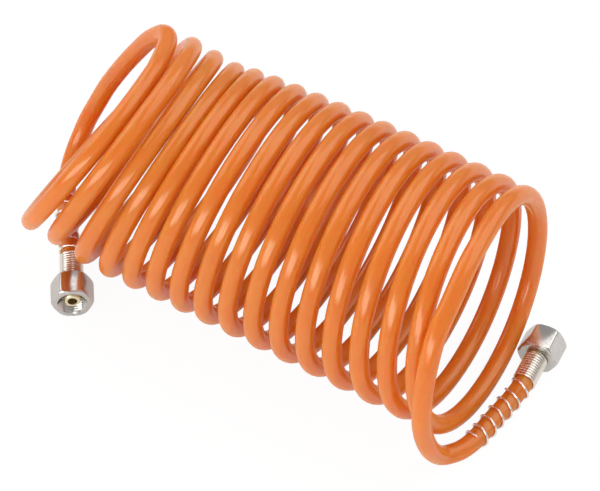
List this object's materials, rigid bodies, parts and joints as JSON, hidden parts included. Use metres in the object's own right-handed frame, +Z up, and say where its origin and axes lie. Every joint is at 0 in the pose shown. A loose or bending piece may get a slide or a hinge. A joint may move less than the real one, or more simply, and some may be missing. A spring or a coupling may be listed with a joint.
{
  "type": "coiled air hose",
  "caption": "Coiled orange polyurethane air hose with a swivel nut, a barbed tailpiece and a spring guard at each end.",
  "frame": {"origin": "the middle of the object's box, on the table it lies on", "axes": "+X along the coil's axis, from its left end to its right end; +Z up; the near side of the coil faces -Y"},
  "size_m": [0.251, 0.1192, 0.112],
  "materials": {
    "hose": "glossy, slightly translucent orange polyurethane",
    "tailpiece": "turned, bright",
    "nut": "nickel plated brass, satin",
    "guard": "bright drawn wire"
  },
  "bodies": {
    "left_side": {"hose_coil": "hose", "hose_lead_left": "hose", "hose_end_left": "hose", "tailpiece_left": "tailpiece", "spring_guard_left": "guard"},
    "right_end": {"hose_lead_right": "hose", "hose_end_right": "hose", "tailpiece_right": "tailpiece", "spring_guard_right": "guard"},
    "nut_left": {"swivel_nut_left": "nut"},
    "nut_right": {"swivel_nut_right": "nut"}
  },
  "joints": [
    {"name": "coil_stretch", "type": "slide", "parent": "left_side", "child": "right_end", "axis": [1, 0, 0], "range_m": [0, 0.8], "stiffness_N_per_m": 7, "deforming": ["hose_coil"]},
    {"name": "nut_left_spin", "type": "hinge", "parent": "left_side", "child": "nut_left", "pos_m": [-0.07627, -0.04925, 0.0085], "axis": [0.5878, -0.809, 0], "continuous": true},
    {"name": "nut_right_spin", "type": "hinge", "parent": "right_end", "child": "nut_right", "pos_m": [0.11539, 0.03383, 0.0085], "axis": [-0.1219, 0.9925, 0], "continuous": true}
  ]
}
